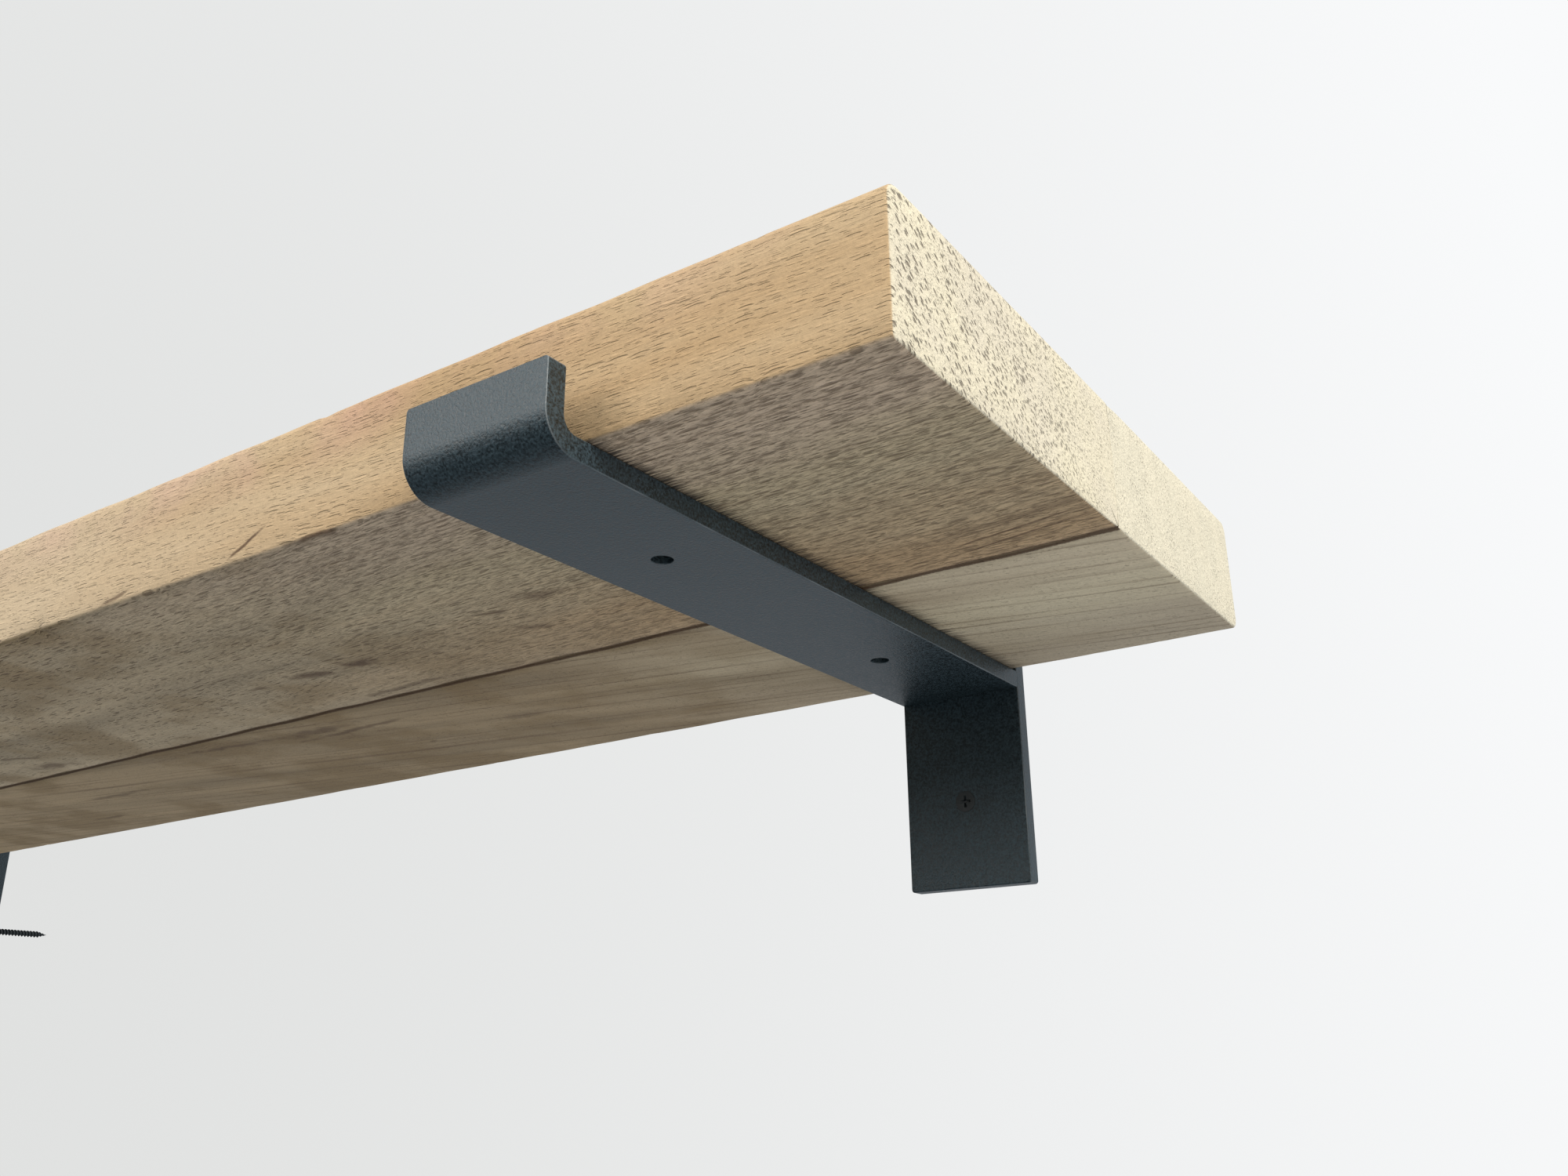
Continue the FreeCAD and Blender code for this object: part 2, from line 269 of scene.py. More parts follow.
def new_material(name):
    """A new material, and what adds a node to its empty tree."""
    material = bpy.data.materials.new(name)
    material.use_nodes = True
    material.node_tree.nodes.clear()
    return material, partial(add_node, material.node_tree)


def finish_piece(bm, name, material, node, sharp):
    """Turns a bmesh into a piece that rides on the part and stands for its CAD node.

    Edges that turn by more than the sharp angle, in degrees, stay crisp.
    """
    bmesh.ops.remove_doubles(bm, verts=bm.verts, dist=0.0005 * MM)
    bmesh.ops.recalc_face_normals(bm, faces=bm.faces)
    mesh = bpy.data.meshes.new(name)
    bm.to_mesh(mesh)
    bm.free()
    mesh.shade_smooth()
    mesh.set_sharp_from_angle(angle=math.radians(sharp))
    mesh.materials.append(material)
    piece = bpy.data.objects.new(name, mesh)
    bpy.context.scene.collection.objects.link(piece)
    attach(piece, "root")
    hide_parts(node)
    return piece


def weigh_normals(piece):
    """Keeps the large faces flat where narrow eased edges join them."""
    weighted = piece.modifiers.new("Weighted normals", "WEIGHTED_NORMAL")
    weighted.keep_sharp = True
    weighted.weight = 100


def verts_of(geometry):
    """The vertices in an operator's output."""
    return [g for g in geometry if isinstance(g, bmesh.types.BMVert)]


def open_edges(bm):
    """Edges with only one face."""
    return [e for e in bm.edges if len(e.link_faces) == 1]


def extend(bm, edges, matrices):
    """Extrudes a loop of edges once for each matrix, each from where the last one left it."""
    for matrix in matrices:
        verts = verts_of(bmesh.ops.extrude_edge_only(bm, edges=edges)["geom"])
        bmesh.ops.transform(bm, matrix=matrix, verts=verts)
        fresh = set(verts)
        near = dict.fromkeys(e for v in verts for e in v.link_edges)
        edges = [e for e in near if set(e.verts) <= fresh]
    return edges


def fill(bm, edges):
    """Closes a loop of edges, or the space between loops, with triangles."""
    bmesh.ops.triangle_fill(bm, use_beauty=True, edges=edges)


def cut(bm, place, normal, **settings):
    """Cuts the whole mesh by a plane."""
    geometry = [*bm.verts, *bm.edges, *bm.faces]
    bmesh.ops.bisect_plane(bm, geom=geometry, plane_co=place, plane_no=normal, **settings)


def scaled_about(centre, factors):
    """A matrix that scales about a point."""
    there = Matrix.Translation(centre)
    return there @ Matrix.Diagonal((*factors, 1.0)) @ there.inverted()


# -------------------------------------------------------------------- planks


# Stains, knots and cracks of the undersides, in millimetres: distance from the right end, place on
# Y, half size, turn in degrees, darkness, and the swing of the growth rings round it.
FRONT_MARKS = (
    # Brown smears and small knots on the underside.
    (160, -164, (9, 4, 6), 12, 0.6, 6.0),
    (183, -143, (10, 3, 6), 15, 0.5, 0.0),
    (182, -160, (6, 1.2, 6), 10, 0.6, 0.0),
    (258, -149, (9, 3.5, 6), 6, 0.8, 0.0),
    (281, -148, (12, 3.5, 6), 10, 0.75, 3.0),
    (313, -149, (6, 1.5, 6), 0, 0.6, 0.0),
    (269, -119, (26, 2, 6), -2, 0.5, 0.0),
    (101, -121, (14, 2, 6), 0, 0.5, 0.0),
    (497, -124, (16, 5, 6), 8, 0.6, 5.0),
    (494, -140, (14, 2, 6), 20, 0.5, 0.0),
    (600, -180, (12, 5, 6), 8, 0.6, 6.0),
    (745, -150, (18, 4, 6), 4, 0.5, 5.0),
    # A brown wedge and two thin dark lines in front of the joint.
    (10, -137, (34, 3, 6), -9, 0.4, 0.0),
    (22, -128.7, (30, 0.6, 6), -10, 0.75, 0.0),
    (29, -122.5, (32, 0.6, 6), -10, 0.75, 0.0),
)
REAR_MARKS = (
    # An eye of brown growth lines, with darker streaks that run out of it.
    (378, -93, (38, 6, 12), 4, 0.0, 16.0),
    (352, -95, (24, 4, 6), 0, 0.6, 0.0),
    (330, -88, (34, 2, 6), -3, 0.6, 0.0),
    (400, -99, (26, 2.4, 6), 6, 0.55, 0.0),
    (325, -55, (3, 1.5, 4), 0, 0.5, 0.0),
    (263, -64, (10, 4, 5), 0, 0.3, 0.0),
    (540, -69, (26, 2.5, 6), 2, 0.5, 0.0),
    (594, -37, (14, 2, 6), 2, 0.5, 0.0),
    (690, -75, (30, 5, 10), 4, 0.3, 10.0),
)


def steps_between(low, high, step):
    """Evenly spaced places strictly between two ends, about one step apart."""
    count = max(1, round((high - low) / step))
    return [low + (high - low) * i / count for i in range(1, count)]


def cut_across(bm, axis, places):
    """Cuts the whole mesh by planes at right angles to an axis."""
    normal = Vector([float(i == axis) for i in range(3)])
    for place in places:
        cut(bm, normal * place, normal, dist=0.001 * MM)


def long_edges_at(bm, y, z):
    """The lengthwise edges that lie at one corner of the cross section."""
    return [
        e for e in bm.edges
        if all(abs(v.co.y - y) < TINY and abs(v.co.z - z) < TINY for v in e.verts)
    ]


def sunk(place, shape):
    """How far the uneven face has sunk at a place."""
    p = place / MM
    return shape.wave * (0.5 + 0.5 * noise.noise((p.x / 85, p.y / 26, p.z / 26)))


def make_plank(name, material, arrises, joint_y, shape):
    """A plank: a bevelled box cut into small cells, then worn, waved and chipped inwards.

    Each arris is (y side, z side, radius, segments, chip depth), with 0 for low and 1 for high.
    """
    low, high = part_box(name)
    corner = (low, high)
    bm = bmesh.new()
    middle = (low + high) / 2
    place = Matrix.Translation(middle) @ Matrix.Diagonal((*(high - low), 1.0))
    bmesh.ops.create_cube(bm, size=1.0, matrix=place)
    for side_y, side_z, radius, segments, _ in arrises:
        bmesh.ops.bevel(
            bm, geom=long_edges_at(bm, corner[side_y].y, corner[side_z].z), offset=radius,
            segments=segments, profile=0.5, affect="EDGES", material=-1,
        )
    ends = []
    for e in bm.edges:
        middle_y = (e.verts[0].co.y + e.verts[1].co.y) / 2
        across = abs(e.verts[0].co.x - e.verts[1].co.x) < TINY
        if across and abs(middle_y - joint_y) > shape.joint * 1.2:
            ends.append(e)
    bmesh.ops.bevel(
        bm, geom=ends, offset=shape.end, segments=3, profile=0.5, affect="EDGES", material=-1
    )
    cut_across(bm, 1, steps_between(low.y + shape.round, high.y - shape.round, shape.cell))
    cut_across(bm, 2, steps_between(low.z + shape.round, high.z - shape.round, shape.cell))
    lengthwise = [e for e in bm.edges if e.calc_length() > (high.x - low.x) / 2]
    cuts = round((high.x - low.x) / shape.step)
    bmesh.ops.subdivide_edges(bm, edges=lengthwise, cuts=cuts, use_grid_fill=True)
    bm.normal_update()
    moves = {}
    for v in bm.verts:
        p = v.co / MM
        inward = sunk(v.co, shape)
        for side_y, side_z, _, _, chip in arrises:
            reach = math.hypot(v.co.y - corner[side_y].y, v.co.z - corner[side_z].z) / (5 * MM)
            if reach < 1.0:
                seed = 40.0 * side_y + 80.0 * side_z
                worn = max(0.0, noise.noise((p.x / 24, seed, 3.0)) + 0.35)
                inward += shape.wear * worn * (1.0 - reach) ** 2
                torn = noise.noise((p.x / 7.5, seed, 9.0)) + 0.6 * noise.noise((p.x / 31, seed, 5.0))
                inward += chip * max(0.0, torn - 0.38) * 1.8 * (1.0 - reach)
        moves[v] = v.normal * -min(inward, 1.9 * MM)
    for v, move in moves.items():
        if abs(v.co.y - joint_y) < 0.2 * MM:
            move.y = 0.0
        v.co += move
    finish_piece(bm, name + "_wood", material, name, sharp=60)


def make_timber(name, look, low, high, joint_y, marks):
    """Open-pored oak, sawn and lightly planed, with no finish on it.

    The pores are long tubes, so they show as short dark dashes on the long faces and as pits on
    the sawn ends. The underside is rougher and weathered grey, and beside its dashes a painted
    highlight stands for torn fibres catching the light. Pores are drawn about twice as coarse as real ones
    so that they show.
    Each mark is (centre, half size, turn in degrees, darkness, swing of the rings), in millimetres.
    """
    material, add = new_material(name)
    place = add("TexCoord").outputs["Object"]
    normal = add("NewGeometry").outputs["Normal"]
    point = add("VectorMath SCALE", place, 1 / MM)
    x, y, z = add("SeparateXYZ", point).outputs
    side_x, side_y, side_z = add("SeparateXYZ", normal).outputs
    down = add("MapRange", side_z, -0.35, -0.8)
    facing = add("Math ABSOLUTE", side_x)
    is_end = add("MapRange", facing, 0.45, 0.8)

    # Stains, small knots and splits, and the painted shadows of two chips: ragged patches, round which the
    # rings may swing.
    ragged = add("TexNoise", point, Scale=1 / 9, Detail=3.0)
    sway = add("VectorMath MULTIPLY_ADD", ragged.outputs["Color"], (2.2, 2.2, 2.2), (-1.1, -1.1, -1.1))
    stains_and_shadows, swell = 0.0, 0.0
    for centre, half, angle, strength, swing in marks:
        rotation = tuple(math.radians(a) for a in angle)
        near = add("Mapping TEXTURE", point, Location=centre, Rotation=rotation, Scale=half)
        near = add("VectorMath ADD", near, sway)
        far = add("VectorMath LENGTH", near)
        if strength:
            spot = add("MapRange SMOOTHSTEP", far, 1.3, 0.3, 0, strength)
            stains_and_shadows = add("Math MAXIMUM", stains_and_shadows, spot)
        if swing:
            pushed = add("MapRange SMOOTHSTEP", far, 2.5, 0.0, 0, swing)
            swell = add("Math ADD", swell, pushed)

    # The grain wanders by a few millimetres over a hand's breadth, then is turned into ring axes.
    slow = add("VectorMath MULTIPLY", point, (1 / 240, 1 / 75, 1 / 75))
    wander = add("TexNoise", slow, Scale=1.0, Detail=2.0)
    drift = add("VectorMath MULTIPLY_ADD", wander.outputs["Color"], (0, 12, 12), (0, -6, -6))
    bent = add("VectorMath ADD", point, drift)
    grain = add(
        "Mapping TEXTURE", bent, Location=(low + high) / 2 / MM,
        Rotation=(look.ring_tilt, 0.0, look.grain_turn),
    )

    # Growth rings: the distance from the pith, unevenly spaced, with a thin dark late wood.
    from_pith = add("VectorMath ADD", grain, (0, 0, look.pith / MM))
    across = add("VectorMath MULTIPLY", from_pith, (0, 1, 1))
    radius = add("VectorMath LENGTH", across)
    swung = add("Math ADD", radius, swell)
    rings = add("Math DIVIDE", swung, look.ring / MM)
    uneven = add("TexNoise", W=rings, Scale=0.45, Detail=1.0, noise_dimensions="1D")
    spaced = add("Math MULTIPLY_ADD", uneven, 1.9, rings)
    phase = add("Math FRACT", spaced)
    rise = add("MapRange", phase, 0.6, 0.94)
    fall = add("MapRange", phase, 1.0, 0.94)
    rising = add("Math POWER", rise, 2.0)
    edge_of_ring = add("Math MULTIPLY", rising, fall)
    stretch = add("VectorMath MULTIPLY", grain, (1 / 60, 1 / 9, 1 / 9))
    patchy = add("TexNoise", stretch, Scale=1.0, Detail=2.0)
    shown = add("MapRange", patchy, 0.35, 0.65, 0.15, 1.15)
    late = add("Math MULTIPLY", edge_of_ring, shown)

    # Pores: one long cell each, of uneven size. Those nearer the joint are finer.
    half = Vector((look.pore_length, look.pore_width, look.pore_depth)) / MM
    cell = Vector((half.x * 2.4, half.y * 2.9, half.z * 3.3))
    ratio = Vector((cell.x / half.x, cell.y / half.y, cell.z / half.z))
    crowd = add("MapRange", patchy, 0.3, 0.7, 0.75, 1.2)
    finer = add("MapRange", y, joint_y / MM - 45, joint_y / MM, 1.0, 0.6)
    crowded = add("Math MULTIPLY", crowd, finer)
    pore, lip = 0.0, 0.0
    for size, amount in ((1.0, 1.0), (0.5, 0.75)):
        cells = add("VectorMath DIVIDE", grain, cell * size)
        nearest = add("TexVoronoi", cells, Scale=1.0, Randomness=0.9)
        offset = add("VectorMath SUBTRACT", cells, nearest.outputs["Position"])
        stretched = add("VectorMath MULTIPLY", offset, ratio)
        far = add("VectorMath LENGTH", stretched)
        lot = add("SeparateColor", nearest.outputs["Color"]).outputs[0]
        own = add("MapRange", lot, 0, 1, 0.45, 1.15)
        edge = add("Math MULTIPLY", own, crowded)
        ratio_far = add("Math DIVIDE", far, edge)
        hollow = add("MapRange SMOOTHSTEP", ratio_far, 1.05, 0.55, 0, amount)
        pore = add("Math MAXIMUM", pore, hollow)
        # The torn lip lies on one side of the pore, towards the front of the plank. It is raised in the
        # relief and gets a painted highlight in the colour, as if it caught the light.
        shifted = add("VectorMath ADD", stretched, (0.0, 0.75, 0.75))
        beside = add("VectorMath LENGTH", shifted)
        ratio_beside = add("Math DIVIDE", beside, edge)
        ridge_relief_and_highlight = add("MapRange SMOOTHSTEP", ratio_beside, 1.1, 0.5, 0, amount)
        lip = add("Math MAXIMUM", lip, ridge_relief_and_highlight)

    # Torn fibres: broken streaks along the grain, dark where they are torn and pale beside that.
    torn_dark, torn_pale = 0.0, 0.0
    for long, wide in ((7.0, 0.95), (3.2, 0.5)):
        broken = add("VectorMath MULTIPLY", grain, (1 / long, 1 / wide, 1 / wide))
        tears = add("TexNoise", broken, Scale=1.0, Detail=2.0, Roughness=0.6)
        dark = add("MapRange", tears, 0.53, 0.68)
        pale = add("MapRange", tears, 0.47, 0.34)
        torn_dark = add("Math MAXIMUM", torn_dark, dark)
        torn_pale = add("Math MAXIMUM", torn_pale, pale)
    torn_share = add("MapRange", down, 0, 1, 0.06 * look.tear, 0.8 * look.tear)
    smoother = add("MapRange", x, 80.0, 330.0, 0.3, 1.0)
    torn_share = add("Math MULTIPLY", torn_share, smoother)
    torn_dark = add("Math MULTIPLY", torn_dark, torn_share)
    torn_pale = add("Math MULTIPLY", torn_pale, torn_share)

    # Fibres: fine streaks along the grain, drawn about 0.6 mm wide so that they show.
    thin = add("VectorMath MULTIPLY", grain, (1 / 22, 1 / 0.6, 1 / 0.6))
    fibre = add("TexNoise", thin, Scale=1.0, Detail=3.0, Roughness=0.6)
    fine = add("TexNoise", point, Scale=1 / 0.8, Detail=2.0, Roughness=0.7)

    # Colour zones along the plank, and a pink blush in patches under the top edge.
    zone = add("VectorMath MULTIPLY", grain, (1 / 150, 1 / 30, 1 / 20))
    zones = add("TexNoise", zone, Scale=1.0, Detail=3.0)
    zoned = add("MapRange", zones, 0.36, 0.64)
    blots = add("TexNoise", point, Scale=1 / 38, Detail=3.0)
    blushed = add("MapRange", blots, 0.42, 0.62, 0, 0.7)
    leftmost = add("MapRange", x, 400.0, 240.0, 0.2, 1.0)
    blushed = add("Math MULTIPLY", blushed, leftmost)
    above = add("MapRange", side_z, 0, 1, 1.0, 0.3)
    blushed = add("Math MULTIPLY", blushed, above)
    upper = add("MapRange", z, high.z / MM - 19, high.z / MM - 4)
    blushed = add("Math MULTIPLY", blushed, upper)
    side = add("Mix RGBA", zoned, look.tone_light, look.tone_dark)
    side = add("Mix RGBA", blushed, side, look.blush)

    # The weathered underside changes from front to rear. Towards the left it is browner and darker, partly
    # from dust and partly from painted shade.
    shaky = add("Math MULTIPLY_ADD", zones, 60.0, -30.0)
    depth = add("Math ADD", y, shaky)
    front_y, rear_y = low.y / MM, high.y / MM
    step_in = add("MapRange", depth, front_y + 10, front_y + 38)
    step_back = add("MapRange", depth, rear_y - 62, rear_y - 22)
    under = add("Mix RGBA", step_in, look.under_front, look.under_middle)
    under = add("Mix RGBA", step_back, under, look.under_joint)
    leftwards = add("Math MULTIPLY_ADD", shaky, 3.0, x)
    left = add("MapRange", leftwards, look.dull_from / MM, look.dull_to / MM)
    # Painted shade and dust darken the underside towards the left.
    under = add("Mix RGBA", left, under, look.under_left)
    cleaner = add("MapRange", leftwards, 0.0, -260.0, 1.0, look.far_left)
    banded = add("MapRange", zones, 0.36, 0.64, -0.16, 0.2)
    banded = add("Math MULTIPLY", banded, left)
    cleaner = add("Math ADD", cleaner, banded)
    under = add("VectorMath SCALE", under, cleaner)
    browned = add("MapRange", blots, 0.48, 0.62, 0, 0.55)
    browned = add("Math MULTIPLY", browned, left)
    under = add("Mix RGBA", browned, under, linear("94784F"))
    paler = add("Math MULTIPLY", left, 0.6)
    side = add("Mix RGBA", paler, side, look.tone_left)
    side = add("Mix RGBA", down, side, under)
    upright = add("Math ABSOLUTE", side_y)
    flatter = add("MapRange", upright, 0, 1, look.ring_share, look.ring_share / 3)
    lateness = add("Math MULTIPLY", late, flatter)
    side = add("Mix RGBA", lateness, side, look.late)
    side = add("Mix RGBA", stains_and_shadows, side, linear("5F452F"))
    shade = add("MapRange", fibre, 0.25, 0.75, 0.9, 1.1)
    grainy = add("MapRange", fine, 0.25, 0.75, 0.92, 1.08)
    rough_share = add("MapRange", down, 0, 1, look.side_pores, look.under_pores)
    # Painted highlight: the colour is lightened on each pore's torn lip. The pale torn streaks lighten it
    # too.
    painted_lip_highlight = add("Math MULTIPLY", lip, rough_share)
    highlight_and_pale = add("Math MULTIPLY_ADD", painted_lip_highlight, 0.25, 1.0)
    highlight_and_pale = add("Math MULTIPLY_ADD", torn_pale, 0.3, highlight_and_pale)
    light = add("Math MULTIPLY", shade, grainy)
    light = add("Math MULTIPLY", light, highlight_and_pale)
    side = add("VectorMath SCALE", side, light)
    dark = add("Math MULTIPLY", pore, rough_share)
    dark = add("Math MAXIMUM", torn_dark, dark)
    side = add("Mix RGBA", dark, side, look.pore)

    # Painted shadow darkens the underside along both edges of each bar, where shade gathers against the
    # bar; fibres make its edge ragged.
    arm_low, arm_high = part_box("right_bracket_arm")
    mirrored = add("Math ABSOLUTE", x)
    centred = add("Math SUBTRACT", mirrored, (arm_low.x + arm_high.x) / 2 / MM)
    beyond = add("Math ABSOLUTE", centred)
    beyond = add("Math MULTIPLY_ADD", fibre, 16.0, beyond)
    bar_edge = (arm_high.x - arm_low.x) / 2 / MM
    painted_bar_shadow = add("MapRange SMOOTHSTEP", beyond, bar_edge + 13, bar_edge + 6, 0, 0.92)
    painted_bar_shadow = add("Math MULTIPLY", painted_bar_shadow, down)
    side = add("Mix RGBA", painted_bar_shadow, side, linear("2A2723"))

    # Old glue and dirt darken the groove of the joint.
    aside = add("Math SUBTRACT", y, joint_y / MM)
    gap = add("Math ABSOLUTE", aside)
    gap = add("Math MULTIPLY_ADD", fine, 0.8, gap)
    grime = add("MapRange", gap, 2.4, 1.6, 0, 0.9)
    below = add("MapRange", down, 0, 1, 0.25, 1.0)
    grime = add("Math MULTIPLY", grime, below)
    side = add("Mix RGBA", grime, side, linear("5A4029"))

    # The sawn ends are much paler, with the pores cut across.
    end = add("Mix RGBA", zoned, look.end_light, look.end_dark)
    ringed = add("Math MULTIPLY", late, 0.08)
    end = add("Mix RGBA", ringed, end, look.end_pore)
    grains = add("MapRange", fine, 0.3, 0.7, 0.85, 1.08)
    end = add("VectorMath SCALE", end, grains)
    pitted = add("Math MULTIPLY", pore, look.end_pores)
    fading = add("MapRange", aside, -70.0, 0.0, 1.0, look.end_fade)
    pitted = add("Math MULTIPLY", pitted, fading)
    end = add("Mix RGBA", pitted, end, look.end_pore)
    colour = add("Mix RGBA", is_end, side, end)

    # Relief in millimetres: open pores, the torn lips beside them and raised fibres.
    sunken = add("MapRange", is_end, 0, 1, -0.3, -0.75)
    relief = add("Math MULTIPLY", pore, sunken)
    relief = add("Math MULTIPLY_ADD", lip, 0.12, relief)
    relief = add("Math MULTIPLY_ADD", torn_dark, -0.3, relief)
    relief = add("Math MULTIPLY_ADD", torn_pale, 0.15, relief)
    relief = add("Math MULTIPLY_ADD", fibre, 0.16, relief)
    grit = add("MapRange", is_end, 0, 1, 0.1, 0.5)
    relief = add("Math MULTIPLY_ADD", fine, grit, relief)
    bump = add("Bump", Strength=0.9, Distance=MM, Height=relief)
    matt = add("MapRange", fibre, 0, 1, 0.72, 0.92)
    shader = add("BsdfPrincipled", Base_Color=colour, Roughness=matt, IOR=1.5, Normal=bump)
    add("OutputMaterial", Surface=shader)
    return material


class SHELF_OT_planks(bpy.types.Operator):
    """Makes the two oak planks of the board"""

    bl_idname = "shelf.planks"
    bl_label = "Planks"

    def execute(self, context):
        scene = context.scene
        shape = scene.shelf_planks
        joint = (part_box("front_plank")[1].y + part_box("rear_plank")[0].y) / 2
        right, high = CAD_BOX[1].x / MM, CAD_BOX[1].z / MM
        front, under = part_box("front_plank")[0].y / MM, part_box("front_plank")[0].z / MM
        rows = (
            (
                "front_plank", "front_timber", scene.shelf_front_look, "Rough-sawn oak",
                (
                    (0, 1, shape.round, 5, 0.9 * MM),
                    (0, 0, shape.crisp, 4, shape.chip),
                    (1, 1, shape.joint, 1, 0.0),
                    (1, 0, shape.joint, 1, 0.0),
                ),
                FRONT_MARKS,
                (
                    # A slanted split and two chips' shadows on the front.
                    ((right - 205, front, under + 5), (8, 5, 0.7), (0, -22, 0), 0.9, 0.0),
                    ((right - 173, front, under + 0.6), (11, 5, 0.7), (0, 0, 0), 0.8, 0.0),
                    ((right - 268, front, under + 2.4), (7, 5, 0.8), (0, -8, 0), 0.7, 0.0),
                ),
            ),
            (
                "rear_plank", "rear_timber", scene.shelf_rear_look, "Planed oak",
                (
                    (1, 1, shape.round, 5, 0.5 * MM),
                    (1, 0, shape.round, 5, 0.4 * MM),
                    (0, 1, shape.joint, 1, 0.0),
                    (0, 0, shape.joint, 1, 0.0),
                ),
                REAR_MARKS,
                (
                    # A knot in the top.
                    ((right - 150, -22, high), (9, 7, 6), (0, 0, 0), 0.6, 8.0),
                ),
            ),
        )
        for node, slot, look, name, arrises, flat_marks, other_marks in rows:
            marks = [
                ((right - x, y, under), half, (0, 0, angle), strength, swing)
                for x, y, half, angle, strength, swing in flat_marks
            ]
            marks.extend(other_marks)
            timber = make_timber(name, look, *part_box(node), joint, marks)
            make_plank(node, timber, arrises, joint, shape)
        return {"FINISHED"}


def make_dried_glue():
    """PVA wood glue, squeezed out and dried dark with dust: a dull brown line with a soft gloss.

    On the sawn ends it was cut flush, so it is as pale as the wood.
    """
    material, add = new_material("Dried wood glue")
    place = add("TexCoord").outputs["Object"]
    along = add("VectorMath MULTIPLY", place, (1 / (18 * MM), 1 / (2 * MM), 1 / (2 * MM)))
    lumps = add("TexNoise", along, Scale=1.0, Detail=3.0)
    colour = add("Mix RGBA", lumps, linear("4A3722"), linear("77603F"))
    axes = add("SeparateXYZ", add("NewGeometry").outputs["Normal"])
    is_end = add("Math ABSOLUTE", axes.outputs[0])
    colour = add("Mix RGBA", is_end, colour, linear("DDD2B4"))
    bump = add("Bump", Strength=0.5, Distance=0.2 * MM, Height=lumps)
    shader = add("BsdfPrincipled", Base_Color=colour, Roughness=0.45, IOR=1.47, Normal=bump)
    add("OutputMaterial", Surface=shader)
    return material


class SHELF_OT_glue_line(bpy.types.Operator):
    """Makes the thin film of glue in the joint, with an uneven edge where it squeezed out"""

    bl_idname = "shelf.glue_line"
    bl_label = "Glue line"

    def execute(self, context):
        low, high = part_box("glue_line")
        bm = bmesh.new()
        place = Matrix.Translation((low + high) / 2) @ Matrix.Diagonal((*(high - low), 1.0))
        bmesh.ops.create_cube(bm, size=1.0, matrix=place)
        lengthwise = [e for e in bm.edges if e.calc_length() > (high.x - low.x) / 2]
        cuts = round((high.x - low.x) / (3 * MM))
        bmesh.ops.subdivide_edges(bm, edges=lengthwise, cuts=cuts, use_grid_fill=True)
        for v in bm.verts:
            seed = 0.0 if v.co.z > (low.z + high.z) / 2 else 50.0
            shrink = 0.4 * MM * (0.5 + 0.5 * noise.noise((v.co.x / (9 * MM), seed, 0.0)))
            v.co.z += shrink if seed else -shrink
            if abs(v.co.x) > high.x - MM:
                v.co.x -= math.copysign(sunk(v.co, context.scene.shelf_planks), v.co.x)
        finish_piece(bm, "glue_film", make_dried_glue(), "glue_line", sharp=40)
        return {"FINISHED"}


# ------------------------------------------------------------------ brackets


def make_powder_coat(look):
    """Mild steel bar under a black polyester powder coat, fine texture, baked.

    The coat is satin: a soft blue-grey sheen over near black, broken up by a fine orange peel of
    about half a millimetre, drawn twice as coarse so that it shows. The speckle of sheen that the
    peel gives is painted into the colour as paler and darker flecks. It is thin on the bars' long
    arrises, which are worn pale in places.
    """
    material, add = new_material("Powder-coated steel")
    place = add("TexCoord").outputs["Object"]
    point = add("VectorMath SCALE", place, 1 / MM)
    peel = add("TexNoise", point, Scale=1 / 0.7, Detail=2.0, Roughness=0.7)
    grit = add("TexVoronoi", point, Scale=1 / 0.9)
    haze = add("TexNoise", point, Scale=1 / 30, Detail=5.0)
    # Painted sheen: the orange peel's speckle of sheen is painted into the base colour.
    painted_sheen_speck = add("MapRange", peel, 0.35, 0.66, 0.3, 2.2)
    cloud = add("MapRange", haze, 0, 1, 0.88, 1.12)
    light = add("Math MULTIPLY", painted_sheen_speck, cloud)
    colour = add("VectorMath SCALE", look.coat, light)
    sideways = add("SeparateXYZ", add("NewGeometry").outputs["Normal"]).outputs[0]
    sideways = add("Math ABSOLUTE", sideways)
    turned = add("MapRange", sideways, 0.2, 0.5)
    past = add("MapRange", sideways, 0.98, 0.85)
    arris = add("Math MULTIPLY", turned, past)
    arm_low, arm_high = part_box("right_bracket_arm")
    spots = add("SeparateXYZ", place)
    mirrored = add("Math ABSOLUTE", spots.outputs[0])
    centred = add("Math SUBTRACT", mirrored, (arm_low.x + arm_high.x) / 2)
    beyond = add("Math ABSOLUTE", centred)
    edge = (arm_high.x - arm_low.x) / 2 - MM
    at_side = add("Math GREATER_THAN", beyond, edge)
    arris = add("Math MULTIPLY", arris, at_side)
    worn = add("MapRange", haze, 0.4, 0.6, 0.15, 0.75)
    worn = add("Math MULTIPLY", arris, worn)
    colour = add("Mix RGBA", worn, colour, linear("7E8386"))
    rough = add("MapRange", peel, 0.3, 0.7, 0.3, 0.58)
    height = add("Math MULTIPLY_ADD", grit, -0.35, peel)
    bump = add("Bump", Strength=0.9, Distance=0.16 * MM, Height=height)
    shader = add(
        "BsdfPrincipled", Base_Color=colour, Roughness=rough, IOR=1.52, Normal=bump,
        Specular_IOR_Level=0.55, Specular_Tint=(0.88, 0.97, 1.0),
    )
    add("OutputMaterial", Surface=shader)
    return material


